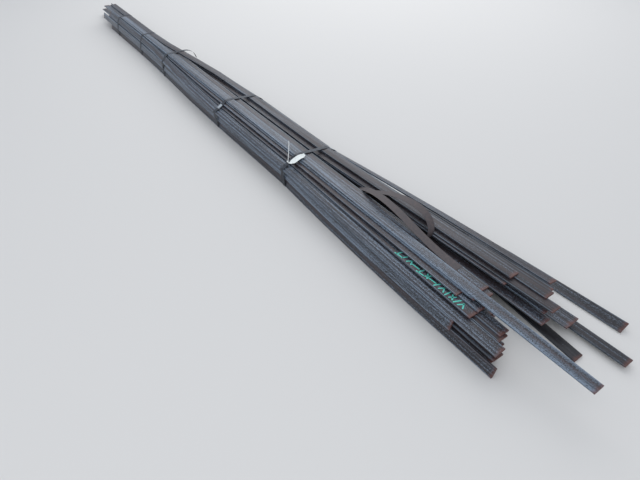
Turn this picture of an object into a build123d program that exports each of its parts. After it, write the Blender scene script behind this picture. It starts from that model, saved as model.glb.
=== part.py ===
from build123d import *
import math
import os
import random

# A strapped bundle of hot-rolled steel flat bars, in millimetres.
# X runs along the bars, towards the loose end where they fan out, and Z is up.
# The origin is on the floor, at the middle of the bundle's length and width. The bars are laid
# out about a zero in the middle of the tight half, and everything is then moved to the origin.

# Bar stock: 2-1/2 in by 3/8 in, 20 ft long
bar_length = 6096.0
bar_width = 63.5
bar_thickness = 9.525

# Air between neighbours
layer_gap = 0.4
side_gap = 0.8

# Steel strapping round the bundle
strap_width = 31.75
strap_thickness = 0.9
strap_clearance = 0.3
strap_positions = {
    "strap_1": -2478.0,
    "strap_2": -1667.0,
    "strap_3": -944.0,
    "strap_4": 367.0,
    "strap_5": 1433.0,
}

# Crimped sleeve that joins the two ends of each strap, and where round the bundle it sits
seal_length = 42.0
seal_thickness = 1.4
seal_side_clearance = 0.5
seal_lift = 0.02
crimps_per_lip = 2
crimp_width = 6.0
crimp_bite = 1.2
seal_towards = {
    "strap_1": (100.0, 170.0),
    "strap_2": (105.0, 170.0),
    "strap_3": (135.0, 170.0),
    "strap_4": (-110.0, 190.0),
    "strap_5": (215.0, 170.0),
}

# Loose piece of wider band, sprung up out of the gap between the two halves of the fanned end:
# it lies on the left half, arches down into the gap, turns and arches out and back into it
band_width = 50.8
band_thickness = 1.3
band_path = [
    (2840, 22, 200.5), (2700, 26, 200.5), (2560, 32, 215), (2420, 40, 240), (2270, 51, 253),
    (2120, 66, 240), (2000, 80, 200), (1920, 86, 150), (1885, 88, 115), (1895, 88, 92),
    (1925, 88, 98), (1965, 90, 135), (2020, 96, 180), (2110, 128, 215), (2240, 160, 250),
    (2380, 176, 256), (2485, 165, 232), (2538, 132, 190), (2543, 110, 155), (2520, 105, 125),
]

# Free end of the third strap, past its seal: Y and Z of its middle line
tail_path = [(55, 211.4), (100, 211.6), (150, 208.5), (188, 190), (216, 160), (228, 118)]

# Shipping tag beside the last strap, lying over the left shoulder: Y and Z of its middle line
tag_width = 60.3
tag_thickness = 0.8
tag_beside = 50.0
tag_path = [(-24, 217.5), (-45, 210.8), (-70, 210.2), (-98, 201), (-125, 190.5), (-142, 189.5)]

# Cable tie round the last strap where the bars leave room under it. Its tail stands up from its
# head: Y and Z of the tail's middle line from there.
tie_towards = (-100.0, 195.0)
tie_width = 7.6
tie_thickness = 1.3
tie_slack = 0.5
tie_head = (9.0, 11.0, 5.5)
tie_tail_path = [(0, 0), (4, 35), (9, 80), (13, 125), (14, 155)]

# Where the bars bend: tight up to the second strap, loose from the fourth, fanning after the last
tight_until = strap_positions["strap_2"]
loose_from = strap_positions["strap_4"]
fan_from = strap_positions["strap_5"]
fan_measured_at = 3050.0
stations_between = (-1222.0, -667.0, -222.0)
stations_fanning = (1700.0, 2000.0, 2400.0, 2800.0)
shortest_run = 90.0

# Layers of flat bars: the lower ones are three bars wide, the crown on them two
layer_pitch = bar_thickness + layer_gap
lane_pitch = bar_width + side_gap
lowest_face = strap_thickness + strap_clearance
lower_layers = 14
upper_layers = 6
lower_top = lowest_face + lower_layers * layer_pitch
crown_top = lower_top + upper_layers * layer_pitch

# A lane is a stack of bars, one to a layer. Each gives the sideways place of its bars where the
# bundle is tight, where it is loose and where the fan is measured, how early they spread after
# the last strap, the x of their fanned ends, and its layers.
lanes = {
    "left": {
        "tight": -lane_pitch, "loose": -90.0, "fan": -137.0, "early": 1.0,
        "end": 3235.0, "first": 0, "layers": lower_layers,
    },
    "middle": {
        "tight": 0.0, "loose": -2.0, "fan": -40.0, "early": 0.2,
        "end": 3120.0, "first": 0, "layers": lower_layers,
    },
    "right": {
        "tight": lane_pitch, "loose": 167.0, "fan": 245.0, "early": 0.3,
        "end": 3110.0, "first": 0, "layers": lower_layers,
    },
    "crown_left": {
        "tight": -lane_pitch / 2, "loose": -66.0, "fan": -90.0, "early": 0.2,
        "end": 3100.0, "first": lower_layers, "layers": upper_layers,
    },
    "crown_right": {
        "tight": lane_pitch / 2, "loose": 150.0, "fan": 240.0, "early": 0.3,
        "end": 3100.0, "first": lower_layers, "layers": upper_layers,
    },
}

# How unevenly the hidden bars of a lane lie, sideways and lengthways
side_scatter = 24.0
least_scatter = 0.45
end_scatter = 45.0
scatter = random.Random(11)

# Bars that show at the fanned end, with their own places instead of their lane's
showing = {
    ("left", 11): {"loose": -80.0, "fan": -125.0},
    ("left", 12): {"loose": -86.0, "fan": -118.0},
    ("middle", 7): {"end": 2655.0},
    ("middle", 12): {"loose": -18.0, "fan": -46.0},
    ("left", 13): {"loose": -66.0, "fan": -104.0},
    ("right", 0): {"loose": 132.0, "fan": 256.6, "early": 2.0, "end": 3467.0},
    ("right", 2): {"loose": 185.0, "fan": 348.0, "early": 0.65, "end": 3622.0},
    ("right", 7): {"loose": 185.0, "fan": 306.0, "early": 0.3, "end": 3346.0},
    ("right", 8): {"loose": 160.0, "fan": 262.0, "early": 0.3, "end": 3351.0},
    ("right", 10): {"loose": 143.0, "fan": 170.0, "early": 0.0, "end": 3278.0},
    ("right", 13): {"loose": 150.0, "fan": 211.0, "early": 0.2, "end": 3250.0},
    ("crown_left", 14): {"loose": -60.0, "fan": -104.0, "end": 3241.0},
    ("crown_left", 15): {"loose": -40.0, "fan": -83.0, "end": 3228.0},
    ("crown_left", 16): {"loose": -90.0, "fan": -124.0, "end": 3080.0},
    ("crown_left", 17): {"loose": -20.0, "fan": -71.0, "end": 3083.0},
    ("crown_left", 18): {"loose": -70.0, "fan": -85.0, "end": 2955.0},
    ("crown_left", 19): {"loose": -47.0, "fan": -47.0, "end": 3028.0},
    ("crown_right", 14): {"loose": 172.0, "fan": 312.0, "early": 0.3, "end": 3182.0},
    ("crown_right", 15): {"loose": 128.0, "fan": 195.0, "early": 0.0, "end": 3025.0},
    ("crown_right", 16): {"loose": 127.0, "fan": 211.0, "early": 0.0, "end": 3282.0},
    ("crown_right", 17): {"loose": 170.0, "fan": 260.0, "early": 0.3, "end": 3211.0},
    ("crown_right", 18): {"loose": 14.0, "fan": 5.0, "end": 3051.0},
    ("crown_right", 19): {"loose": 19.0, "fan": 18.0, "end": 3011.0},
}

# Bars that lean against the flanks and shoulders of the bundle, side being -1 at left and 1 at
# right: what they lean on, and their roll in degrees, and the height they stand on, where the
# bundle is tight, where it is loose and at the fanned end
upright = 76.0
row_height = bar_width * math.sin(math.radians(upright)) + bar_thickness * math.cos(math.radians(upright))
second_row = lowest_face + row_height + layer_gap
third_row = second_row + row_height + layer_gap
leaning = {
    "left_flank": [
        {"side": -1, "on": "left", "rolls": (upright, upright, upright),
         "bases": (lowest_face, lowest_face, lowest_face), "end": 3304.0},
        {"side": -1, "on": "left", "rolls": (upright, upright, upright),
         "bases": (second_row, second_row, second_row), "end": 3030.0},
        {"side": -1, "on": "crown_left", "rolls": (60.0, 18.0, 10.0), "spread": -6.0,
         "bases": (lower_top, third_row, third_row), "end": 3283.0},
    ],
    "right_flank": [
        {"side": 1, "on": "right", "rolls": (upright, 50.0, -12.0), "spread": 205.0, "early": 0.7,
         "bases": (lowest_face, lowest_face, lowest_face), "end": 3495.0},
        {"side": 1, "on": "right", "rolls": (upright, upright, upright), "spread": 60.0,
         "bases": (second_row, second_row, second_row), "end": 2640.0},
        {"side": 1, "on": "crown_right", "rolls": (60.0, 30.0, 14.0), "spread": 60.0,
         "bases": (lower_top, third_row, third_row), "end": 3150.0},
    ],
}

# Bars on top of the crown. The second comes down to the right half's own top as it loosens.
top_bars = [
    {"tight": -lane_pitch / 2, "loose": -37.0, "fan": -43.0, "early": 0.0, "settle": 0, "end": 3647.0},
    {"tight": lane_pitch / 2, "loose": 168.0, "fan": 229.0, "early": 0.0, "settle": 2, "end": 3028.0},
]


def smooth(share):
    """0 up to 0 and 1 from 1, rising smoothly between."""
    share = max(0.0, min(1.0, share))
    return share * share * (3 - 2 * share)


def loosened(x):
    """0 where the bundle is tight and 1 where it is loose."""
    return smooth((x - tight_until) / (loose_from - tight_until))


def fanned(x, early):
    """0 up to the last strap and 1 where the fan is measured; early bars spread soon after it."""
    share = max(0.0, (x - fan_from) / (fan_measured_at - fan_from))
    return share * (1 + early * (1 - share))


def between(x, places, early=0.0):
    """A value that is given where the bundle is tight, where it is loose and where it is fanned."""
    tight, loose, fan = places
    return tight + (loose - tight) * loosened(x) + (fan - loose) * fanned(x, early)


def side_place(x, place):
    """Sideways place of a bar's middle line."""
    return between(x, (place["tight"], place["loose"], place["fan"]), place["early"])


def stations(end):
    """Distances along the bundle at which a bar that ends at end gets a section."""
    bends = [tight_until, *stations_between, loose_from, fan_from, *stations_fanning]
    return [end - bar_length, *(x for x in bends if x < end - shortest_run), end]


def cut_to_length(middle_line):
    """The middle line with its first run shortened or lengthened to the stock length."""
    rest = sum((there - here).length for here, there in zip(middle_line[1:-1], middle_line[2:]))
    first_run = (middle_line[0] - middle_line[1]).normalized()
    return [middle_line[1] + first_run * (bar_length - rest), *middle_line[1:]]


def corners(point, roll):
    """The four corners of a bar's section at point, rolled by roll degrees."""
    lean = math.radians(roll)
    across = Vector(0, math.cos(lean), math.sin(lean)) * (bar_width / 2)
    upward = Vector(0, -math.sin(lean), math.cos(lean)) * (bar_thickness / 2)
    return [point - across - upward, point + across - upward,
            point + across + upward, point - across + upward]


def bar_sections(places, rolls):
    """Corner sets of one bar, from its middle line and its roll at each station."""
    return [corners(point, roll) for point, roll in zip(cut_to_length(places), rolls)]


def extents(roll):
    """Half the width and half the height that a bar takes up when it is rolled."""
    lean = math.radians(roll)
    run = abs(math.cos(lean))
    rise = abs(math.sin(lean))
    half_width = (bar_width * run + bar_thickness * rise) / 2
    half_height = (bar_width * rise + bar_thickness * run) / 2
    return half_width, half_height


def layer_height(layer):
    """Height of the middle of a layer."""
    return lowest_face + layer * layer_pitch + bar_thickness / 2


def lane_bars(name):
    """The flat bars of one lane, from the lowest up, lying left and right by turns."""
    lane = lanes[name]
    bars = []
    for layer in range(lane["first"], lane["first"] + lane["layers"]):
        side = 1 if layer % 2 else -1
        shift = side * side_scatter * scatter.uniform(least_scatter, 1.0)
        end = lane["end"] + scatter.uniform(-end_scatter, end_scatter)
        place = lane | {"loose": lane["loose"] + shift, "fan": lane["fan"] + shift, "end": end}
        place |= showing.get((name, layer), {})
        xs = stations(place["end"])
        places = [Vector(x, side_place(x, place), layer_height(layer)) for x in xs]
        bars.append(bar_sections(places, [0.0] * len(xs)))
    return bars


def leaning_bar(bar):
    """A bar that leans against the outer side of a lane."""
    side = bar["side"]
    lane = lanes[bar["on"]]
    wall = {
        "tight": lane["tight"],
        "loose": lane["loose"] + side * side_scatter,
        "fan": lane["fan"] + side * (side_scatter + bar.get("spread", 0.0)),
        "early": bar.get("early", lane["early"]),
    }
    places = []
    rolls = []
    for x in stations(bar["end"]):
        roll = between(x, bar["rolls"])
        half_width, half_height = extents(roll)
        y = side_place(x, wall) + side * (bar_width / 2 + side_gap + half_width)
        places.append(Vector(x, y, between(x, bar["bases"]) + layer_gap + half_height))
        rolls.append(-side * roll)
    return bar_sections(places, rolls)


def top_bar(bar):
    """A flat bar on top of the crown, lowered by its settle layers as the bundle loosens."""
    lowered_from = stations_between[1]
    places = []
    for x in stations(bar["end"]):
        lowered = bar["settle"] * layer_pitch * smooth((x - lowered_from) / (loose_from - lowered_from))
        height = layer_height(lower_layers + upper_layers) - lowered
        places.append(Vector(x, side_place(x, bar), height))
    return bar_sections(places, [0.0] * len(places))


def section_at(bar, x):
    """The corners of a bar where it crosses the plane at x."""
    for here, there in zip(bar[:-1], bar[1:]):
        if here[0].X <= x <= there[0].X:
            share = (x - here[0].X) / (there[0].X - here[0].X)
            return [a + (b - a) * share for a, b in zip(here, there)]
    return []


bundle = {f"{name}_bars": lane_bars(name) for name in lanes}
for name, bars in leaning.items():
    bundle[f"{name}_bars"] = [leaning_bar(bar) for bar in bars]
bundle["top_bars"] = [top_bar(bar) for bar in top_bars]

# Move everything so that the origin is at the middle of the bars' length and width
laid = [corner for bars in bundle.values() for bar in bars for ring in bar for corner in ring]
middle_x = (min(corner.X for corner in laid) + max(corner.X for corner in laid)) / 2
middle_y = (min(corner.Y for corner in laid) + max(corner.Y for corner in laid)) / 2
to_origin = Vector(-middle_x, -middle_y, 0)
bundle = {
    name: [[[corner + to_origin for corner in ring] for ring in bar] for bar in bars]
    for name, bars in bundle.items()
}
all_bars = [bar for bars in bundle.values() for bar in bars]

os.makedirs("parts", exist_ok=True)


def save(part, label):
    """Name a finished part and write it as a STEP file."""
    part.label = label
    export_step(part, f"parts/{label}.step")


# Bars, one node for each stack
for name, bars in bundle.items():
    with BuildPart() as stack:
        for bar in bars:
            sections = []
            for ring in bar:
                with BuildSketch(Plane(ring[0], x_dir=ring[1] - ring[0], z_dir=(1, 0, 0))) as section:
                    Rectangle(bar_width, bar_thickness, align=(Align.MIN, Align.MIN))
                sections.append(section.sketch.face())
            loft(sections, ruled=True)
    save(stack.part, name)


def half_hull(points):
    """One side of the tightest outline round points that are sorted from left to right."""
    hull = []
    for point in points:
        while len(hull) > 1 and (hull[-1] - hull[-2]).cross(point - hull[-1]).Z <= 0:
            hull.pop()
        hull.append(point)
    return hull


def wrapped_outline(x):
    """The outline that a tight strap at x follows round the bars, in the plane of Y and Z."""
    points = []
    for edge_x in (x - strap_width / 2, x + strap_width / 2):
        for bar in all_bars:
            points += [Vector(corner.Y, corner.Z) for corner in section_at(bar, edge_x)]
    points.sort(key=lambda point: (point.X, point.Y))
    under = half_hull(points)
    over = half_hull(points[::-1])
    with BuildSketch() as wrapped:
        with BuildLine():
            Polyline(*under[:-1], *over[:-1], close=True)
        make_face()
    return wrapped.sketch.face()


def seat_on(outer, x, towards, least_run):
    """A plane on the strap's outer face nearest to towards, its X along the strap's run."""
    sides = outer.edges().filter_by(lambda side: side.length > least_run)
    wanted = Vector(towards[0] + to_origin.Y, towards[1])
    side = min(sides, key=lambda s: (s.center() - wanted).length)
    run = (side @ 1 - side @ 0).normalized()
    if run.X < 0:
        run = run * -1
    middle = side.center()
    return Plane((x, middle.X, middle.Y), x_dir=(0, run.X, run.Y), z_dir=(0, -run.Y, run.X))


def ribbon(path, across, width, thickness):
    """Build a thin strip of flat faces along the points of path, its width lying along across."""
    rings = []
    for index, point in enumerate(path):
        heading = path[min(index + 1, len(path) - 1)] - path[max(index - 1, 0)]
        side = across * (width / 2)
        rise = heading.cross(across).normalized() * (thickness / 2)
        rings.append([point - side - rise, point + side - rise, point + side + rise, point - side + rise])
    outlines = [rings[0][::-1], rings[-1]]
    for here, there in zip(rings[:-1], rings[1:]):
        for corner in (0, 2):
            level, edge = (corner + 1) % 4, (corner + 2) % 4
            outlines.append([here[corner], here[level], there[level], there[corner]])
            outlines.append([here[level], here[edge], there[edge]])
            outlines.append([here[level], there[edge], there[level]])
    add(Solid(Shell([Face(Wire.make_polygon(outline)) for outline in outlines])))


def crosswise(path, x):
    """Points of a path given by its Y and Z, laid in the plane at x."""
    return [Vector(x, y, z) + to_origin for y, z in path]


# Straps and their seals
strap_outer_faces = {}
for name, laid_x in strap_positions.items():
    x = laid_x + to_origin.X
    outline = wrapped_outline(x)
    across = Plane((x - strap_width / 2, 0, 0), x_dir=(0, 1, 0), z_dir=(1, 0, 0))
    inner = offset(outline, strap_clearance, kind=Kind.INTERSECTION, mode=Mode.PRIVATE)
    outer = offset(outline, strap_clearance + strap_thickness, kind=Kind.INTERSECTION, mode=Mode.PRIVATE)
    strap_outer_faces[name] = outer
    with BuildPart() as strap:
        with BuildSketch(across):
            add(outer)
            add(inner, mode=Mode.SUBTRACT)
        extrude(amount=strap_width)
    save(strap.part, name)

    seat = seat_on(outer, x, seal_towards[name], seal_length).offset(seal_lift)
    half = strap_width / 2 + seal_side_clearance
    with BuildPart() as seal:
        with BuildSketch(seat):
            Rectangle(seal_length, 2 * (half + seal_thickness))
        extrude(amount=seal_thickness)
        with BuildSketch(seat):
            with Locations((0, half + seal_thickness / 2), (0, -half - seal_thickness / 2)):
                Rectangle(seal_length, seal_thickness)
        extrude(amount=-strap_thickness)
        with BuildSketch(seat.offset(seal_thickness)):
            with GridLocations(seal_length / crimps_per_lip, 2 * (half + seal_thickness), crimps_per_lip, 2):
                Rectangle(crimp_width, 2 * crimp_bite)
        extrude(amount=-seal_thickness - strap_thickness, mode=Mode.SUBTRACT)
    save(seal.part, name.replace("strap", "seal"))

# Free end of the third strap
with BuildPart() as strap_tail:
    ribbon(crosswise(tail_path, strap_positions["strap_3"]), Vector(1, 0, 0), strap_width, strap_thickness)
save(strap_tail.part, "strap_tail")

# Loose band
with BuildPart() as loose_band:
    ribbon([Vector(*point) + to_origin for point in band_path], Vector(0, 1, 0), band_width, band_thickness)
save(loose_band.part, "loose_band")

# Tag
with BuildPart() as tag:
    ribbon(crosswise(tag_path, strap_positions["strap_5"] + tag_beside), Vector(1, 0, 0), tag_width, tag_thickness)
save(tag.part, "tag")

# Cable tie: its loop round the strap, its head and its tail
tie_x = strap_positions["strap_5"] + to_origin.X
tie_seat = seat_on(strap_outer_faces["strap_5"], tie_x, tie_towards, tie_width)
hole_across = strap_width + 2 * tie_slack
hole_high = strap_thickness + 2 * tie_slack
with BuildPart() as tie:
    with Locations(tie_seat.offset(-strap_thickness / 2)):
        Box(tie_width, hole_across + 2 * tie_thickness, hole_high + 2 * tie_thickness)
        Box(tie_width, hole_across, hole_high, mode=Mode.SUBTRACT)
    head_place = tie_seat.offset(tie_slack + tie_thickness + tie_head[2] / 2)
    with Locations(head_place):
        Box(*tie_head)
    ribbon([head_place.origin + Vector(0, y, z) for y, z in tie_tail_path], Vector(1, 0, 0), tie_width, tie_thickness)
save(tie.part, "tie")
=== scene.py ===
"""A strapped bundle of hot-rolled steel flat bars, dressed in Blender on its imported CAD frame.

Sizes are in metres. X runs along the bars towards the fanned end, and Z is up.
"""
import logging
import math
from collections.abc import Callable
from dataclasses import dataclass, field
from enum import Enum

import bmesh
import bpy
import numpy as np
from mathutils import Euler, Matrix, Vector


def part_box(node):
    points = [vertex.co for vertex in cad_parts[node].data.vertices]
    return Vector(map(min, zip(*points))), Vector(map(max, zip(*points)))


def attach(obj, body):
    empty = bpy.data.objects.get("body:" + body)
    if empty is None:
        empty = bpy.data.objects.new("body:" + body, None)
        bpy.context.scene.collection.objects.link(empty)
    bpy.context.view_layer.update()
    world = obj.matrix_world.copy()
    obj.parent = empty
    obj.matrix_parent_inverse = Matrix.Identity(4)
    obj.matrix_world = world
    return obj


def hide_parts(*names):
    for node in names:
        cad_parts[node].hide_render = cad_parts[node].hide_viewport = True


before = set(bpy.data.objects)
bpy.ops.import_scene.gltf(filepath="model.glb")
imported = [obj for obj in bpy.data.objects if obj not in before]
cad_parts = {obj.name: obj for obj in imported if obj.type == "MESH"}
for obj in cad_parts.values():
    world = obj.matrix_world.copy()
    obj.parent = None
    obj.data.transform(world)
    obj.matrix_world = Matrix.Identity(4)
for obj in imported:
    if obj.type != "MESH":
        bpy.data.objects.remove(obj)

Colour = tuple[float, float, float]
Triple = tuple[float, float, float]
Rise = tuple[float, float]
Bar = list[tuple[float, np.ndarray]]

ROOT = "root"
BARS_SUFFIX = "_bars"
SECTION_CORNERS = 4
SECTION_DIGITS = 4
BAR_END_DIGITS = 3
NOISE_MIDDLE = 0.5

log = logging.getLogger("bundle")


class Value:
    """A number in a shader: a socket, reckoned with by Python's own operators."""

    def __init__(self, shading: "Shading", socket: bpy.types.NodeSocket) -> None:
        """Wrap a socket.

        Args:
            shading: The node tree's builder.
            socket: The output socket that carries the number.
        """
        self.shading = shading
        self.socket = socket

    def _math(self, operation: str, *terms: "Value | float") -> "Value":
        """Add a Math node, and give its result.

        Args:
            operation: The Math node's operation.
            terms: Its inputs, numbers or values.

        Returns:
            The result.
        """
        inputs = dict(enumerate(terms))
        made = self.shading.node("ShaderNodeMath", {"operation": operation}, inputs)
        return Value(self.shading, made.outputs[0])

    def __add__(self, other: "Value | float") -> "Value":
        """This plus other."""
        return self._math("ADD", self, other)

    def __radd__(self, other: float) -> "Value":
        """Other plus this."""
        return self._math("ADD", other, self)

    def __sub__(self, other: "Value | float") -> "Value":
        """This less other."""
        return self._math("SUBTRACT", self, other)

    def __rsub__(self, other: float) -> "Value":
        """Other less this."""
        return self._math("SUBTRACT", other, self)

    def __mul__(self, other: "Value | float") -> "Value":
        """This times other."""
        return self._math("MULTIPLY", self, other)

    def __rmul__(self, other: float) -> "Value":
        """Other times this."""
        return self._math("MULTIPLY", other, self)

    def __abs__(self) -> "Value":
        """The size of this."""
        return self._math("ABSOLUTE", self)

    def most(self, other: "Value | float") -> "Value":
        """The larger of this and other."""
        return self._math("MAXIMUM", self, other)

    def ramped(self, rise: Rise) -> "Value":
        """0 up to the rise's start, 1 from its stop, and a straight rise between.

        Args:
            rise: Its start and its stop, which may lie below the start.

        Returns:
            The clamped result.
        """
        start, stop = rise
        inputs = {"Value": self, "From Min": start, "From Max": stop}
        made = self.shading.node("ShaderNodeMapRange", {"clamp": True}, inputs)
        return Value(self.shading, made.outputs["Result"])


Term = Value | float | tuple[float, ...]


@dataclass(frozen=True)
class Noise:
    """A fractal noise's fineness per metre, its octaves, their strength, and a scale by axis."""

    scale: float
    detail: float
    roughness: float
    axes: Triple | None = None


class Shading:
    """Builds one material's node tree round a Principled BSDF."""

    MIX_AMOUNT = 0
    MIX_UNDER = 6
    MIX_OVER = 7
    MIX_RESULT = 2

    def __init__(self, name: str) -> None:
        """Make a new material with nothing but a Principled BSDF and its output.

        Args:
            name: The material's name.
        """
        self.material = bpy.data.materials.new(name)
        self.material.use_nodes = True
        self.tree = self.material.node_tree
        self.tree.nodes.clear()
        self.surface = self.node("ShaderNodeBsdfPrincipled", {}, {})
        output = self.node("ShaderNodeOutputMaterial", {}, {})
        self.tree.links.new(self.surface.outputs[0], output.inputs["Surface"])

    def feed(self, socket: bpy.types.NodeSocket, term: Term) -> None:
        """Link a value to a socket, or set the socket to a constant.

        Args:
            socket: The input socket.
            term: A value, a number, a vector or a colour.
        """
        if isinstance(term, Value):
            self.tree.links.new(term.socket, socket)
        elif isinstance(term, tuple) and len(term) == 3 and len(socket.default_value) == 4:
            socket.default_value = (*term, 1.0)
        else:
            socket.default_value = term

    def node(
        self, kind: str, settings: dict[str, object], inputs: dict[str | int, Term]
    ) -> bpy.types.Node:
        """Add a node.

        Args:
            kind: The node's type.
            settings: Its properties, set first.
            inputs: Its sockets' values or links, by socket name or number.

        Returns:
            The node.
        """
        made = self.tree.nodes.new(kind)
        for key, setting in settings.items():
            setattr(made, key, setting)
        for key, term in inputs.items():
            self.feed(made.inputs[key], term)
        return made

    def attribute(self, name: str, output: str) -> Value:
        """Read an attribute of the mesh."""
        made = self.node("ShaderNodeAttribute", {"attribute_name": name}, {})
        return Value(self, made.outputs[output])

    def object_place(self) -> Value:
        """The place on the object, in metres."""
        return Value(self, self.node("ShaderNodeTexCoord", {}, {}).outputs["Object"])

    def facing_along(self) -> Value:
        """How squarely the surface faces along the bars, from 0 to 1.

        Returns:
            The size of the normal's part along X.
        """
        geometry = self.node("ShaderNodeNewGeometry", {}, {})
        normal = Value(self, geometry.outputs["Normal"])
        parts = self.node("ShaderNodeSeparateXYZ", {}, {"Vector": normal})
        return abs(Value(self, parts.outputs["X"]))

    def noise(self, vector: Value, spec: Noise) -> Value:
        """Fractal noise about a half.

        Args:
            vector: The place that it is read at.
            spec: How fine and how rough it is.

        Returns:
            The noise.
        """
        if spec.axes is not None:
            mapping = self.node("ShaderNodeMapping", {}, {"Vector": vector, "Scale": spec.axes})
            vector = Value(self, mapping.outputs["Vector"])
        made = self.node(
            "ShaderNodeTexNoise",
            {"noise_dimensions": "3D"},
            {
                "Vector": vector,
                "Scale": spec.scale,
                "Detail": spec.detail,
                "Roughness": spec.roughness,
            },
        )
        return Value(self, made.outputs["Fac"])

    def blend(self, amount: Value | float, under: Term, over: Term) -> Value:
        """Mix two colours.

        Args:
            amount: 0 for the first colour and 1 for the second.
            under: The first colour.
            over: The second colour.

        Returns:
            The mixed colour.
        """
        inputs = {self.MIX_AMOUNT: amount, self.MIX_UNDER: under, self.MIX_OVER: over}
        made = self.node("ShaderNodeMix", {"data_type": "RGBA"}, inputs)
        return Value(self, made.outputs[self.MIX_RESULT])

    def bump(self, height: Value, strength: float, distance: float) -> None:
        """Roughen the surface by a height.

        Args:
            height: The height, from 0 to 1.
            strength: How much of the bump is used.
            distance: What a height of 1 stands for.
        """
        inputs = {"Strength": strength, "Distance": distance, "Height": height}
        made = self.node("ShaderNodeBump", {}, inputs)
        self.tree.links.new(made.outputs["Normal"], self.surface.inputs["Normal"])

    def set(self, **sockets: Term) -> None:
        """Set or link the Principled BSDF's sockets, whose names take _ for a space."""
        for name, term in sockets.items():
            self.feed(self.surface.inputs[name.replace("_", " ")], term)


class Attribute(Enum):
    """What each vertex of a dressed bar knows about its own bar."""

    PLACE = "bar_place"
    ACROSS = "bar_across"
    TONE = "bar_tone"
    # Each vertex's share of painted blue highlight, which also makes the bar smoother.
    SHEEN = "bar_sheen"
    STRIPE = "bar_stripe"
    # Each vertex's share of painted shade over its whole bar.
    GLOOM = "bar_gloom"
    TO_END = "bar_to_end"


@dataclass(frozen=True)
class BarLook:
    """How one bar looks, in shares from 0 to 1.

    tone is how brown it is; the painted highlight share says how much painted blue highlight the
    bar carries, and how smooth it is; stripe is how strong the brown line along its middle, which
    shows from the x of stripe_from on; and the painted shade share is how much painted shade
    darkens the whole bar.
    """

    tone: float
    sheen: float
    stripe: float = 0.0
    gloom: float = 0.0
    stripe_from: float = -10.0


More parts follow.
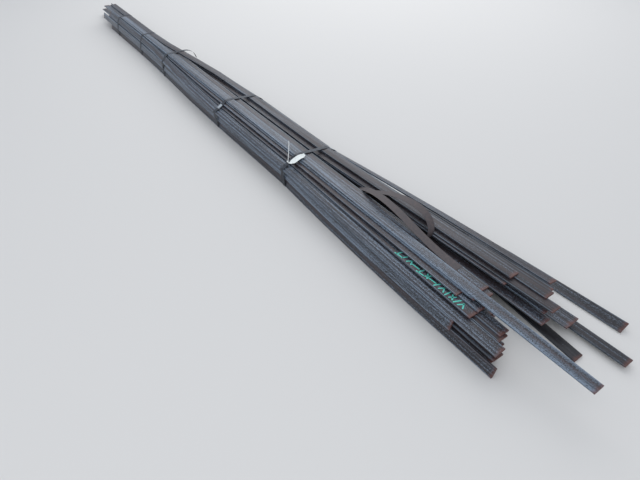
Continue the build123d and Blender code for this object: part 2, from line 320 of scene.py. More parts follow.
@dataclass(frozen=True)
class MillScale:
    """Hot-rolled mill scale: grey, drawn out in brown lines, rusty at the cut ends, with painted
    light.

    Its blue streaks are painted highlight; its long edges are worn and also carry painted
    highlight; its dark lengthwise lines are painted shade like the gaps between stacked bars; and
    some bars are darkened as a whole by painted shade.

    A rise holds the two values between which its mask goes from 0 to 1.
    """

    dark: Colour = (0.011, 0.011, 0.014)
    grey: Colour = (0.070, 0.077, 0.096)
    brown: Colour = (0.050, 0.035, 0.036)
    # Colour of the painted highlight: blue streaks that stand in for the reflection of the pale
    # sky.
    blue: Colour = (0.180, 0.230, 0.300)
    # Colour of the worn long edges, which is also a painted highlight where the rounded edges
    # catch light.
    worn: Colour = (0.180, 0.235, 0.300)
    rust: Colour = (0.125, 0.045, 0.032)
    drawn: Noise = Noise(1.0, 3.0, 0.6, (1.0, 130.0, 130.0))
    fine: Noise = Noise(1.0, 2.0, 0.5, (2.6, 300.0, 300.0))
    hue: Noise = Noise(1.0, 2.0, 0.5, (0.8, 64.0, 64.0))
    patches: Noise = Noise(1.0, 4.0, 0.6, (5.0, 18.0, 18.0))
    # Dark lengthwise lines of painted shade, like the shaded gaps between stacked bars.
    shade_lines: Noise = Noise(1.0, 1.0, 0.5, (0.12, 100.0, 100.0))
    grain: Noise = Noise(170.0, 3.0, 0.65)
    grey_rise: Rise = (0.44, 0.58)
    brown_rise: Rise = (0.56, 0.80)
    highlight_rise: Rise = (0.58, 0.84)
    shade_line_rise: Rise = (0.44, 0.37)
    stripe_rise: Rise = (0.011, 0.0055)
    stripe_waver: float = 0.02
    edge_rise: Rise = (0.0268, 0.0292)
    side_rise: Rise = (0.0322, 0.0312)
    worn_highlit_rise: Rise = (0.75, 1.15)
    end_rise: Rise = (0.8, 0.95)
    creep_rise: Rise = (0.022, 0.0)
    creep_waver: float = 0.05
    brown_most: float = 0.85
    # How strongly the worn edges with their painted highlight, and the painted shade over whole
    # bars, are laid on.
    worn_highlit_most: float = 0.8
    painted_shade_most: float = 0.8
    creep_most: float = 0.75
    roughness: float = 0.46
    ior: float = 1.5
    bump_strength: float = 0.45
    bump_depth: float = 0.0008

    def make(self) -> bpy.types.Material:
        """Build the material, which reads each bar's own place and look.

        The bare factors below are the shares of noises and looks in a mask.

        Returns:
            The material.
        """
        shade = Shading("mill_scale_streaked")
        place = shade.attribute(Attribute.PLACE.value, "Vector")
        across, tone, sheen, stripe, gloom, to_end = (
            shade.attribute(name.value, "Fac") for name in Attribute if name is not Attribute.PLACE
        )
        drawn, fine, hue, patches, shade_lines = (
            shade.noise(place, spec)
            for spec in (self.drawn, self.fine, self.hue, self.patches, self.shade_lines)
        )
        grain = shade.noise(place, self.grain) - NOISE_MIDDLE
        patched = patches - NOISE_MIDDLE
        lines = drawn * 0.6 + fine * 0.4

        base = shade.blend((lines + grain * 0.8).ramped(self.grey_rise), self.dark, self.grey)
        middle = abs(across + patched * self.stripe_waver).ramped(self.stripe_rise) * stripe
        browned = tone * 0.38 + hue - sheen * 0.1 + patched * 0.5 + grain * 0.4
        brown = browned.ramped(self.brown_rise).most(middle) * self.brown_most
        base = shade.blend(brown, base, self.brown)
        # Painted highlight: blue streaks that stand in for the reflection of the pale sky,
        # stronger on bars with a larger painted highlight share; light is their mask.
        blued = lines * 0.9 + sheen * 0.26 + (NOISE_MIDDLE - hue) * 0.6 + grain * 1.3
        light = blued.ramped(self.highlight_rise)
        base = shade.blend(light * (1.0 - middle * 0.8), base, self.blue)
        # Painted shade: dark lengthwise lines, like the shaded gaps between stacked bars.
        shade_line = (shade_lines + grain * 0.15).ramped(self.shade_line_rise) * (0.9 - sheen * 0.5)
        base = shade.blend(shade_line, base, self.dark)

        # Worn scale along the long edges, which is also a painted highlight where the rounded
        # edges catch light.
        reach = abs(across)
        edge = reach.ramped(self.edge_rise) * reach.ramped(self.side_rise)
        worn_highlit_edge = edge * (fine + patches).ramped(self.worn_highlit_rise)
        base = shade.blend(worn_highlit_edge * self.worn_highlit_most, base, self.worn)
        # Painted shade darkens whole bars by their painted shade share, less where the painted
        # highlight lies.
        base = shade.blend(gloom * (1.0 - light * 0.5) * self.painted_shade_most, base, self.dark)
        end = shade.facing_along().ramped(self.end_rise)
        crept = (to_end - patched * self.creep_waver).ramped(self.creep_rise) * self.creep_most
        base = shade.blend(crept.most(end * (0.9 - patches * 0.3)), base, self.rust)

        uneven = grain * 0.5 + (NOISE_MIDDLE - lines) * 0.4 + end * 0.2 - sheen * 0.08
        shade.set(Base_Color=base, Roughness=self.roughness + uneven, IOR=self.ior)
        shade.bump(lines * 0.6 + grain * 0.5, self.bump_strength, self.bump_depth)
        return shade.material


@dataclass(frozen=True)
class StripSteel:
    """Thin rolled strip: its own colour, worn or rusty in patches, with fine grain."""

    name: str
    colour: Colour
    worn: Colour
    metallic: float
    roughness: float
    wear: Noise = Noise(60.0, 4.0, 0.6)
    grain: Noise = Noise(600.0, 2.0, 0.6)
    worn_rise: Rise = (0.42, 0.66)
    broken_up: float = 0.4
    dulled: float = 0.2
    bump_strength: float = 0.2
    bump_depth: float = 0.0002

    def make(self) -> bpy.types.Material:
        """Build the material.

        Returns:
            The material.
        """
        shade = Shading(self.name)
        place = shade.object_place()
        wear = shade.noise(place, self.wear)
        grain = shade.noise(place, self.grain)
        worn = (wear + (grain - NOISE_MIDDLE) * self.broken_up).ramped(self.worn_rise)
        shade.set(
            Base_Color=shade.blend(worn, self.colour, self.worn),
            Metallic=self.metallic,
            Roughness=self.roughness + wear * self.dulled,
        )
        shade.bump(grain, self.bump_strength, self.bump_depth)
        return shade.material


@dataclass(frozen=True)
class Soiled:
    """A dull finish with faint dirt, such as card, nylon or marking paint."""

    name: str
    colour: Colour
    dirt: Colour
    roughness: float = 0.6
    soiling: Noise = Noise(90.0, 4.0, 0.65)
    dirt_rise: Rise = (0.52, 0.72)
    dirt_most: float = 0.5
    dulled: float = 0.15
    bump_strength: float = 0.15
    bump_depth: float = 0.0003

    def make(self) -> bpy.types.Material:
        """Build the material.

        Returns:
            The material.
        """
        shade = Shading(self.name)
        soiling = shade.noise(shade.object_place(), self.soiling)
        dirty = soiling.ramped(self.dirt_rise) * self.dirt_most
        shade.set(
            Base_Color=shade.blend(dirty, self.colour, self.dirt),
            Roughness=self.roughness + soiling * self.dulled,
        )
        shade.bump(soiling, self.bump_strength, self.bump_depth)
        return shade.material


@dataclass(frozen=True)
class Plain:
    """The floor's plain finish."""

    name: str
    colour: Colour
    roughness: float = 0.85

    def make(self) -> bpy.types.Material:
        """Build the material.

        Returns:
            The material.
        """
        shade = Shading(self.name)
        shade.set(Base_Color=self.colour, Roughness=self.roughness)
        return shade.material


def activate(piece: bpy.types.Object) -> None:
    """Select one object and nothing else, so that operators act on it alone.

    Args:
        piece: The object.
    """
    bpy.ops.object.select_all(action="DESELECT")
    piece.select_set(True)
    bpy.context.view_layer.objects.active = piece


def added(name: str, data: bpy.types.ID) -> bpy.types.Object:
    """Put a new object in the scene.

    Args:
        name: Its name.
        data: Its mesh, light or camera.

    Returns:
        The object.
    """
    thing = bpy.data.objects.new(name, data)
    bpy.context.scene.collection.objects.link(thing)
    return thing


def aimed(heading: Vector) -> Euler:
    """The turn that makes a light or a camera face a heading."""
    return heading.to_track_quat("-Z", "Y").to_euler()


def pick(piece: bpy.types.Object, wanted: Callable[[bpy.types.MeshVertex], bool]) -> None:
    """Select vertices of the piece that is being edited.

    Args:
        piece: The object in edit mode.
        wanted: Says of a vertex whether it is selected.
    """
    bpy.ops.mesh.select_all(action="DESELECT")
    bpy.ops.object.mode_set(mode="OBJECT")
    for vert in piece.data.vertices:
        vert.select = wanted(vert)
    bpy.ops.object.mode_set(mode="EDIT")


def paint(piece: bpy.types.Object, finish: bpy.types.Material) -> None:
    """Give a piece its one finish."""
    piece.data.materials.clear()
    piece.data.materials.append(finish)


def stand_in(piece: bpy.types.Object, node: str, finish: bpy.types.Material) -> None:
    """Give a piece its finish, and let it stand for a CAD node on the one body.

    Args:
        piece: The piece.
        node: The CAD node that it replaces.
        finish: The piece's material.
    """
    paint(piece, finish)
    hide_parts(node)
    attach(piece, ROOT)


def shells(shape: bmesh.types.BMesh) -> list[list[bmesh.types.BMVert]]:
    """Sort a mesh's vertices into its separate shells.

    Args:
        shape: The mesh.

    Returns:
        Each shell's vertices, the shells in the order of their first vertices.
    """
    shape.verts.ensure_lookup_table()
    seen: set[int] = set()
    found = []
    for first in shape.verts:
        if first.index in seen:
            continue
        shell, todo = [], [first]
        seen.add(first.index)
        while todo:
            vert = todo.pop()
            shell.append(vert)
            for edge in vert.link_edges:
                other = edge.other_vert(vert)
                if other.index not in seen:
                    seen.add(other.index)
                    todo.append(other)
        found.append(shell)
    return found


@dataclass
class BarStack:
    """The bars of one CAD node, with rounded edges, and each with its own place and look."""

    node: str
    looks: dict[float, BarLook]
    slot: str = "mill_scale"
    half_width: float = 0.03175
    half_thickness: float = 0.0047625
    edge_radius: float = 0.0011
    edge_steps: int = 2
    edge_angle: float = math.radians(40.0)
    smooth_angle: float = math.radians(30.0)
    weld: float = 0.00002
    slack: float = 0.0002
    apart: float = 3.7
    scatter: float = 40.0
    # Unlisted bars draw their shares up to these, their painted highlight share included.
    unseen_most: BarLook = BarLook(tone=1.0, sheen=0.5, stripe=0.8)
    bars: list[Bar] = field(default_factory=list, init=False)

    def find_bars(self, mesh: bpy.types.Mesh) -> list[Bar]:
        """Find each bar's whole sections.

        Args:
            mesh: The welded mesh, whose bars are separate shells.

        Returns:
            For each bar the x of each section and its corners, from the far end on.
        """
        shape = bmesh.new()
        shape.from_mesh(mesh)
        bars = []
        for shell in shells(shape):
            by_x: dict[float, list[Triple]] = {}
            for vert in shell:
                by_x.setdefault(round(vert.co.x, SECTION_DIGITS), []).append(tuple(vert.co))
            whole = [pair for pair in sorted(by_x.items()) if len(pair[1]) == SECTION_CORNERS]
            bars.append([(x, np.array(corners)) for x, corners in whole])
        shape.free()
        return bars

    def build(self) -> bpy.types.Object:
        """Copy the node's mesh, weld it and round its long edges.

        Returns:
            The dressed bars.
        """
        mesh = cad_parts[self.node].data.copy()
        piece = added(f"{self.node}_dressed", mesh)
        activate(piece)
        bpy.ops.object.mode_set(mode="EDIT")
        bpy.ops.mesh.select_all(action="SELECT")
        bpy.ops.mesh.remove_doubles(threshold=self.weld)
        bpy.ops.mesh.customdata_custom_splitnormals_clear()
        bpy.ops.object.mode_set(mode="OBJECT")
        self.bars = self.find_bars(mesh)
        bpy.ops.object.mode_set(mode="EDIT")
        bpy.ops.mesh.select_mode(type="EDGE")
        bpy.ops.mesh.select_all(action="DESELECT")
        bpy.ops.mesh.edges_select_sharp(sharpness=self.edge_angle)
        bpy.ops.mesh.bevel(offset=self.edge_radius, segments=self.edge_steps, affect="EDGES")
        bpy.ops.object.mode_set(mode="OBJECT")
        bpy.ops.object.shade_smooth_by_angle(angle=self.smooth_angle)
        self.place_bars(mesh)
        return piece

    def place_bars(self, mesh: bpy.types.Mesh) -> None:
        """Give every vertex its place in its own bar, and its bar's look.

        Args:
            mesh: The rounded mesh.
        """
        points = np.array([tuple(vert.co) for vert in mesh.vertices])
        place = np.zeros_like(points)
        shares = [name for name in Attribute if name is not Attribute.PLACE]
        values = {name: np.zeros(len(points)) for name in shares}
        nearest = np.full(len(points), np.inf)
        spread = np.random.default_rng(sum(ord(letter) for letter in self.node))
        for number, bar in enumerate(self.bars, start=1):
            first, last = bar[0][0], bar[-1][0]
            across, upward = self.by_section(points, bar)
            off = np.maximum(
                np.abs(across) / self.half_width, np.abs(upward) / self.half_thickness
            )
            off[points[:, 0] < first - self.slack] = np.inf
            off[points[:, 0] > last + self.slack] = np.inf
            mine = off < nearest
            nearest[mine] = off[mine]
            offset = self.apart * number + spread.uniform(0.0, self.scatter)
            unseen = BarLook(
                spread.uniform(0.0, self.unseen_most.tone),
                spread.uniform(0.0, self.unseen_most.sheen),
                spread.uniform(0.0, self.unseen_most.stripe),
            )
            look = self.looks.get(round(float(last), BAR_END_DIGITS), unseen)
            along = points[mine, 0]
            place[mine] = np.column_stack([points[:, 0] + offset, across + offset, upward])[mine]
            # The bar's place and look go to every vertex, its shares of painted highlight and
            # painted shade too.
            values[Attribute.ACROSS][mine] = across[mine]
            values[Attribute.TONE][mine] = look.tone
            values[Attribute.SHEEN][mine] = look.sheen
            values[Attribute.STRIPE][mine] = np.where(along > look.stripe_from, look.stripe, 0.0)
            values[Attribute.GLOOM][mine] = look.gloom
            values[Attribute.TO_END][mine] = np.minimum(along - first, last - along)
        made = mesh.attributes.new(Attribute.PLACE.value, "FLOAT_VECTOR", "POINT")
        made.data.foreach_set("vector", place.astype(np.float32).ravel())
        for name, numbers in values.items():
            made = mesh.attributes.new(name.value, "FLOAT", "POINT")
            made.data.foreach_set("value", numbers.astype(np.float32))

    def by_section(self, points: np.ndarray, bar: Bar) -> tuple[np.ndarray, np.ndarray]:
        """Reckon points by a bar's own section.

        Args:
            points: The points.
            bar: The bar's sections.

        Returns:
            How far each point lies across the bar, and how far above, from its middle line.
        """
        stations = np.array([x for x, _ in bar])
        middles = np.array([corners.mean(axis=0) for _, corners in bar])
        rolls = np.unwrap([self.roll(corners) for _, corners in bar], period=math.pi)
        roll = np.interp(points[:, 0], stations, rolls)
        dy = points[:, 1] - np.interp(points[:, 0], stations, middles[:, 1])
        dz = points[:, 2] - np.interp(points[:, 0], stations, middles[:, 2])
        return dy * np.cos(roll) + dz * np.sin(roll), dz * np.cos(roll) - dy * np.sin(roll)

    def roll(self, corners: np.ndarray) -> float:
        """The angle by which a section's wide faces are rolled from level.

        Args:
            corners: The section's corners.

        Returns:
            The angle in radians.
        """
        flat = corners[:, 1:] - corners[:, 1:].mean(axis=0)
        _, vectors = np.linalg.eigh(flat.T @ flat)
        return math.atan2(vectors[1, 1], vectors[0, 1])

    def dress(self, piece: bpy.types.Object, finish: bpy.types.Material) -> None:
        """Give the bars their finish and let them stand for their node."""
        stand_in(piece, self.node, finish)


# Middle lines of the loose strips. Each strip is moved as a whole to where its CAD node lies.
BAND_ROUTE = (
    (2.840, 0.022, 0.2005), (2.700, 0.026, 0.2005), (2.560, 0.032, 0.215), (2.420, 0.040, 0.240),
    (2.270, 0.051, 0.253), (2.120, 0.066, 0.240), (2.000, 0.080, 0.200), (1.920, 0.086, 0.150),
    (1.885, 0.088, 0.115), (1.895, 0.088, 0.092), (1.925, 0.088, 0.098), (1.965, 0.090, 0.135),
    (2.020, 0.096, 0.180), (2.110, 0.128, 0.215), (2.240, 0.160, 0.250), (2.380, 0.176, 0.256),
    (2.485, 0.165, 0.232), (2.538, 0.132, 0.190), (2.543, 0.110, 0.155), (2.520, 0.105, 0.125),
)
TAIL_ROUTE = (
    (0.0, 0.055, 0.2114), (0.0, 0.100, 0.2116), (0.0, 0.150, 0.2085), (0.0, 0.188, 0.190),
    (0.0, 0.216, 0.160), (0.0, 0.228, 0.118),
)
TAG_ROUTE = (
    (0.0, -0.024, 0.2175), (0.0, -0.045, 0.2108), (0.0, -0.070, 0.2102), (0.0, -0.098, 0.201),
    (0.0, -0.125, 0.1905), (0.0, -0.142, 0.1895),
)
# The bar that carries the brush marks: its node, and the x of its end.
MARKED_NODE = "crown_left_bars"
MARKED_BAR_END = 2.980
# The looks of the bars that show, by node and by the x of the bar's end, with their painted
# highlight and painted shade. A seeded draw gives the others theirs.
SHOWING: dict[str, dict[float, BarLook]] = {
    "top_bars": {
        3.547: BarLook(tone=0.15, sheen=0.9, stripe=0.9, stripe_from=2.5),
        2.928: BarLook(tone=0.7, sheen=0.25, stripe=0.2, gloom=0.3),
    },
    "crown_left_bars": {
        3.141: BarLook(tone=0.75, sheen=0.25),
        3.128: BarLook(tone=0.6, sheen=0.3),
        2.98: BarLook(tone=0.62, sheen=0.25),
        2.983: BarLook(tone=0.3, sheen=0.6),
        2.855: BarLook(tone=0.9, sheen=0.2),
        2.928: BarLook(tone=0.2, sheen=0.75),
    },
    "crown_right_bars": {
        3.182: BarLook(tone=0.95, sheen=0.1, gloom=0.3),
        3.111: BarLook(tone=0.7, sheen=0.2, gloom=0.3),
        2.951: BarLook(tone=0.75, sheen=0.3),
        2.911: BarLook(tone=0.7, sheen=0.35),
    },
    "right_bars": {
        3.367: BarLook(tone=0.2, sheen=0.0, gloom=1.0),
        3.522: BarLook(tone=0.1, sheen=0.15, gloom=0.55),
        3.15: BarLook(tone=0.4, sheen=0.45),
    },
    "left_flank_bars": {
        2.93: BarLook(tone=0.1, sheen=0.95),
        3.204: BarLook(tone=0.45, sheen=0.15),
        3.183: BarLook(tone=0.3, sheen=0.55),
    },
    "right_flank_bars": {
        3.395: BarLook(tone=0.15, sheen=0.2, gloom=0.45),
        3.05: BarLook(tone=0.4, sheen=0.4),
    },
}


@dataclass(frozen=True)
class Strip:
    """A thin strip that follows the CAD node's route in one smooth curve.

    across is the number of the axis that its width lies along.
    """

    node: str
    slot: str
    route: tuple[Triple, ...]
    across: int
    width: float
    thickness: float
    levels: int = 3
    smooth_angle: float = math.radians(40.0)

    def laid_route(self) -> list[Vector]:
        """Move the route to where the CAD node lies.

        Returns:
            The moved points.
        """
        points = [Vector(point) for point in self.route]
        half = [0.0, 0.0, 0.0]
        half[self.across] = self.width / 2
        low, high = (Vector(corner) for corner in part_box(self.node))
        least = Vector([min(point[axis] for point in points) - half[axis] for axis in range(3)])
        most = Vector([max(point[axis] for point in points) + half[axis] for axis in range(3)])
        shift = (low + high - least - most) / 2
        return [point + shift for point in points]

    def sheet(self) -> bpy.types.Object:
        """Extrude a sheet, one run after another, along the route.

        Returns:
            The sheet, in edit mode, with no thickness yet.
        """
        route = self.laid_route()
        bpy.ops.object.select_all(action="DESELECT")
        bpy.ops.mesh.primitive_plane_add(size=self.width)
        piece = bpy.context.active_object
        piece.name = f"{self.node}_smoothed"
        ahead = 1 - self.across
        half = Vector((0.0, 0.0, 0.0))
        half[ahead] = self.width / 2
        behind = {vert.index for vert in piece.data.vertices if vert.co[ahead] < 0}
        bpy.ops.object.mode_set(mode="EDIT")
        bpy.ops.mesh.select_mode(type="VERT")
        pick(piece, lambda vert: vert.index in behind)
        bpy.ops.transform.translate(value=route[0] + half)
        pick(piece, lambda vert: vert.index not in behind)
        bpy.ops.transform.translate(value=route[1] - half)
        for here, there in zip(route[1:], route[2:]):
            bpy.ops.mesh.extrude_region_move(TRANSFORM_OT_translate={"value": there - here})
        return piece

    def finish_sheet(self, piece: bpy.types.Object) -> None:
        """Smooth the sheet, give it its thickness and face it outwards.

        Args:
            piece: The sheet, in edit mode.
        """
        bpy.ops.object.mode_set(mode="OBJECT")
        smooth = piece.modifiers.new("smooth", "SUBSURF")
        smooth.levels = smooth.render_levels = self.levels
        smooth.boundary_smooth = "PRESERVE_CORNERS"
        wall = piece.modifiers.new("wall", "SOLIDIFY")
        wall.thickness = self.thickness
        wall.offset = 0.0
        bpy.ops.object.modifier_apply(modifier="smooth")
        bpy.ops.object.modifier_apply(modifier="wall")
        bpy.ops.object.mode_set(mode="EDIT")
        bpy.ops.mesh.select_all(action="SELECT")
        bpy.ops.mesh.normals_make_consistent(inside=False)
        bpy.ops.object.mode_set(mode="OBJECT")
        bpy.ops.object.shade_smooth_by_angle(angle=self.smooth_angle)

    def build(self) -> bpy.types.Object:
        """Make the strip.

        Returns:
            The strip.
        """
        piece = self.sheet()
        self.finish_sheet(piece)
        return piece

    def dress(self, piece: bpy.types.Object, finish: bpy.types.Material) -> None:
        """Give the strip its finish and let it stand for its node."""
        stand_in(piece, self.node, finish)


@dataclass(frozen=True)
class Tag(Strip):
    """A blank card tag, narrower at its ends and curled up along its long sides.

    side_share and end_share say how near to its sides and ends the card is shaped, and tip how
    wide its ends stay, as shares of its width.
    """

    curl: float = 0.012
    gather: float = 0.006
    tip: float = 0.55
    side_share: float = 0.3
    end_share: float = 0.2

    def build(self) -> bpy.types.Object:
        """Make the card's sheet, curl its long sides, narrow its ends and smooth it.

        Returns:
            The tag.
        """
        piece = self.sheet()
        bpy.ops.mesh.select_all(action="SELECT")
        bpy.ops.mesh.subdivide(number_cuts=1)
        low, high = (Vector(corner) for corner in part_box(self.node))
        middle = (low.x + high.x) / 2
        for side in (-1.0, 1.0):
            pick(piece, lambda vert: (vert.co.x - middle) * side > self.width * self.side_share)
            bpy.ops.transform.translate(value=(-side * self.gather, 0.0, self.curl))
        for end in (low.y, high.y):
            pick(piece, lambda vert: abs(vert.co.y - end) < self.width * self.end_share)
            centre = (middle, end, low.z)
            bpy.ops.transform.resize(value=(self.tip, 1.0, 1.0), center_override=centre)
        self.finish_sheet(piece)
        return piece


@dataclass(frozen=True)
class Stroke:
    """One stroke of the brush: its place along and across the row, lean in degrees, and length."""

    along: float
    across: float
    lean: float
    length: float


class Glyph(Enum):
    """Plain marks of one or two strokes."""

    SLASH = (Stroke(0.0, 0.0, 68.0, 0.047),)
    CHEVRON = (Stroke(-0.006, 0.0, 60.0, 0.041), Stroke(0.008, 0.001, 122.0, 0.039))
    DASH = (Stroke(0.0, -0.002, 4.0, 0.024),)
    HOOK = (Stroke(0.0, 0.0, 75.0, 0.044), Stroke(0.009, -0.017, 8.0, 0.022))
    CROSS = (Stroke(0.0, 0.0, 55.0, 0.038), Stroke(0.0, 0.0, 128.0, 0.038))
    TALL = (Stroke(0.0, 0.002, 84.0, 0.050),)


@dataclass(frozen=True)
class Row:
    """A row of marks: the x of its first, the pitch from one to the next, and the marks."""

    start: float
    pitch: float
    glyphs: tuple[Glyph, ...]


@dataclass
class BrushMarks:
    """Generic strokes of turquoise paint along the top of one bar."""

    bar: Bar
    brush: float = 0.0075
    film: float = 0.0003
    stroke: float = 0.040
    round_share: float = 0.45
    round_steps: int = 3
    off_middle: float = -0.004
    rows: tuple[Row, ...] = (
        Row(2.455, 0.042, (Glyph.HOOK, Glyph.SLASH, Glyph.CHEVRON, Glyph.DASH, Glyph.HOOK)),
        Row(2.668, 0.036, (Glyph.CROSS, Glyph.DASH, Glyph.SLASH, Glyph.CHEVRON)),
        Row(2.812, 0.031, (Glyph.TALL, Glyph.CROSS, Glyph.SLASH, Glyph.CHEVRON)),
    )
    finish: Soiled = Soiled("marking_paint", (0.10, 0.55, 0.46), (0.06, 0.20, 0.18))

    def on_bar(self, x: float) -> Matrix:
        """Find the middle of the bar's top, and the way it heads there.

        Args:
            x: A place along the bundle.

        Returns:
            The move from the origin to that point, turned to the bar's heading.
        """
        xs = [station for station, _ in self.bar]
        ys = [corners[:, 1].mean() for _, corners in self.bar]
        tops = [corners[:, 2].max() for _, corners in self.bar]
        run = self.stroke
        heading = math.atan2(np.interp(x + run, xs, ys) - np.interp(x - run, xs, ys), 2 * run)
        middle = Vector((x, np.interp(x, xs, ys), np.interp(x, xs, tops)))
        return Matrix.Translation(middle) @ Matrix.Rotation(heading, 4, "Z")

    def brushed(self) -> bpy.types.Object:
        """Make one stroke of the usual length at the origin, with round ends.

        Returns:
            The stroke.
        """
        bpy.ops.object.select_all(action="DESELECT")
        bpy.ops.mesh.primitive_cube_add(size=1.0)
        piece = bpy.context.active_object
        piece.scale = (self.stroke, self.brush, self.film)
        bpy.ops.object.transform_apply(location=False, rotation=False, scale=True)
        bpy.ops.object.mode_set(mode="EDIT")
        bpy.ops.mesh.select_mode(type="EDGE")
        bpy.ops.mesh.select_all(action="DESELECT")
        bpy.ops.object.mode_set(mode="OBJECT")
        for edge in piece.data.edges:
            foot, head = (piece.data.vertices[index].co for index in edge.vertices)
            edge.select = abs(foot.z - head.z) > self.film / 2
        bpy.ops.object.mode_set(mode="EDIT")
        rounding = self.brush * self.round_share
        bpy.ops.mesh.bevel(offset=rounding, segments=self.round_steps, affect="EDGES")
        bpy.ops.object.mode_set(mode="OBJECT")
        return piece

    def laid(self, first: bpy.types.Object, stroke: Stroke, lay: Matrix) -> bpy.types.Object:
        """Copy the first stroke, stretch it to its length and lay it on the bar.

        Args:
            first: The stroke of the usual length.
            stroke: The length, lean and place of this one.
            lay: The move to its mark's place on the bar.

        Returns:
            The copy, with its own mesh.
        """
        mesh = first.data.copy()
        for vert in mesh.vertices:
            vert.co.x += math.copysign((stroke.length - self.stroke) / 2, vert.co.x)
        aside = Matrix.Translation((stroke.along, stroke.across + self.off_middle, 0.0))
        mesh.transform(lay @ aside @ Matrix.Rotation(math.radians(stroke.lean), 4, "Z"))
        return added("stroke", mesh)

    def build(self) -> bpy.types.Object:
        """Copy the stroke to every place and join the copies.

        Returns:
            All strokes in one piece.
        """
        first = self.brushed()
        copies = []
        for row in self.rows:
            for number, glyph in enumerate(row.glyphs):
                lay = self.on_bar(row.start + number * row.pitch)
                copies += [self.laid(first, stroke, lay) for stroke in glyph.value]
        bpy.data.objects.remove(first, do_unlink=True)
        activate(copies[0])
        for copy in copies:
            copy.select_set(True)
        bpy.ops.object.join()
        piece = bpy.context.active_object
        piece.name = "brush_marks"
        return piece

    def dress(self, piece: bpy.types.Object) -> None:
        """Give the strokes their paint; they ride on the bundle."""
        paint(piece, self.finish.make())
        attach(piece, ROOT)


@dataclass
class Strapping:
    """Straps, seals and tie, whose CAD shapes stay, with the smooth loose strips and the tag."""

    straps: int = 5
    blued: StripSteel = StripSteel(
        "strapping_blued",
        colour=(0.028, 0.032, 0.040),
        worn=(0.080, 0.092, 0.110),
        metallic=0.4,
        roughness=0.42,
    )
    zinc: StripSteel = StripSteel(
        "seal_zinc",
        colour=(0.38, 0.42, 0.45),
        worn=(0.56, 0.61, 0.64),
        metallic=0.6,
        roughness=0.30,
    )
    rusty: StripSteel = StripSteel(
        "loose_band_rust",
        colour=(0.056, 0.048, 0.052),
        worn=(0.086, 0.068, 0.068),
        metallic=0.15,
        roughness=0.5,
    )
    card: Soiled = Soiled("tag_card", (0.82, 0.86, 0.84), (0.45, 0.44, 0.40))
    nylon: Soiled = Soiled("tie_nylon", (0.78, 0.80, 0.79), (0.50, 0.49, 0.45), roughness=0.4)
    band: Strip = Strip(
        "loose_band", "band_steel", BAND_ROUTE, across=1, width=0.0508, thickness=0.0013
    )
    tail: Strip = Strip(
        "strap_tail", "strap_steel", TAIL_ROUTE, across=0, width=0.03175, thickness=0.0009
    )
    tag: Tag = Tag("tag", "tag_card", TAG_ROUTE, across=0, width=0.0603, thickness=0.0008)

    def build(self) -> list[bpy.types.Object]:
        """Make the loose strips and the tag, and dress everything.

        Returns:
            The new pieces.
        """
        blued = self.blued.make()
        zinc = self.zinc.make()
        loose = ((self.band, self.rusty.make()), (self.tail, blued), (self.tag, self.card.make()))
        made = []
        for strip, finish in loose:
            piece = strip.build()
            strip.dress(piece, finish)
            made.append(piece)
        paint(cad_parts["tie"], self.nylon.make())
        for number in range(1, self.straps + 1):
            paint(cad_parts[f"strap_{number}"], blued)
            paint(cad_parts[f"seal_{number}"], zinc)
        return made


@dataclass(frozen=True)
class Lamp:
    """A square area light: where it hangs, what it faces, its side, and its power in watts."""

    name: str
    place: Triple
    target: Triple
    side: float
    power: float

    def hang(self) -> None:
        """Add the light to the scene."""
        light = bpy.data.lights.new(self.name, "AREA")
        light.size = self.side
        light.energy = self.power
        holder = added(self.name, light)
        holder.location = self.place
        holder.rotation_euler = aimed(Vector(self.target) - Vector(self.place))


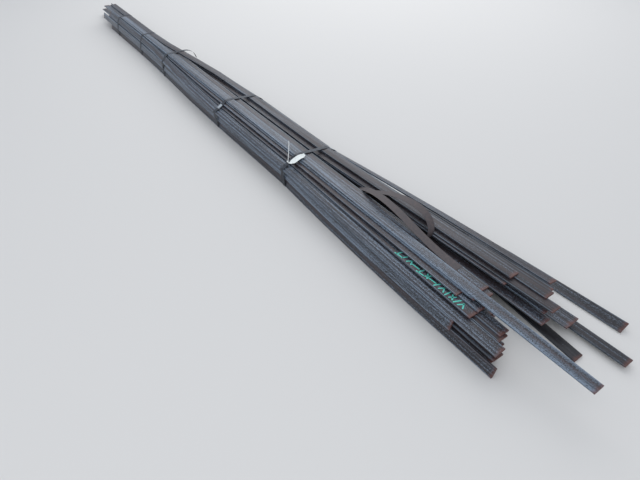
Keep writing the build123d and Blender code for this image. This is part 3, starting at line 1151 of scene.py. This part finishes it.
@dataclass
class Studio:
    """Pale floor, soft light and the camera."""

    floor_side: float = 60.0
    floor: Plain = Plain("floor_paper", (0.66, 0.65, 0.63))
    key: Lamp = Lamp("key", (-2.5, 3.5, 5.0), (0.8, 0.0, 0.0), side=8.0, power=260.0)
    fill: Lamp = Lamp("fill", (4.5, -3.5, 4.5), (1.0, 0.0, 0.0), side=5.0, power=80.0)
    sky_colour: Colour = (0.86, 0.91, 1.0)
    sky_strength: float = 0.75
    camera_place: Triple = (3.7886, -1.7451, 1.9000)
    camera_heading: Triple = (-0.625, 0.433, -0.649)
    lens: float = 27.0
    sensor: float = 36.0

    def build(self) -> None:
        """Make the floor, the lights, the sky and the camera."""
        self.lay_floor()
        self.key.hang()
        self.fill.hang()
        self.light_sky()
        self.set_camera()
        bpy.context.scene.view_settings.view_transform = "Standard"

    def lay_floor(self) -> None:
        """Lay the floor, which isn't part of the object."""
        bpy.ops.object.select_all(action="DESELECT")
        bpy.ops.mesh.primitive_plane_add(size=self.floor_side, location=(0.0, 0.0, 0.0))
        floor = bpy.context.active_object
        floor.name = "floor"
        paint(floor, self.floor.make())

    def light_sky(self) -> None:
        """Give the scene an even, slightly blue sky."""
        world = bpy.data.worlds.new("soft_sky")
        world.use_nodes = True
        sky = world.node_tree.nodes["Background"]
        sky.inputs["Color"].default_value = (*self.sky_colour, 1.0)
        sky.inputs["Strength"].default_value = self.sky_strength
        bpy.context.scene.world = world

    def set_camera(self) -> None:
        """Set the camera where the photograph was taken from."""
        camera = bpy.data.cameras.new("camera")
        camera.lens = self.lens
        camera.sensor_width = self.sensor
        holder = added("camera", camera)
        holder.location = self.camera_place
        holder.rotation_euler = aimed(Vector(self.camera_heading))
        bpy.context.scene.camera = holder


def report(piece: bpy.types.Object) -> None:
    """Say in the log that a piece is made."""
    log.info("%s: %d faces", piece.name, len(piece.data.polygons))


def main() -> None:
    """Build the scene in order, and report each piece."""
    logging.basicConfig(level=logging.INFO, format="%(message)s")
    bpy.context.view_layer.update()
    Studio().build()
    scale = MillScale().make()
    for node in sorted(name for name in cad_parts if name.endswith(BARS_SUFFIX)):
        stack = BarStack(node, SHOWING.get(node, {}))
        piece = stack.build()
        stack.dress(piece, scale)
        report(piece)
        if node == MARKED_NODE:
            marks = BrushMarks(min(stack.bars, key=lambda bar: abs(bar[-1][0] - MARKED_BAR_END)))
            strokes = marks.build()
            marks.dress(strokes)
            report(strokes)
    for piece in Strapping().build():
        report(piece)


if __name__ == "__main__":
    main()
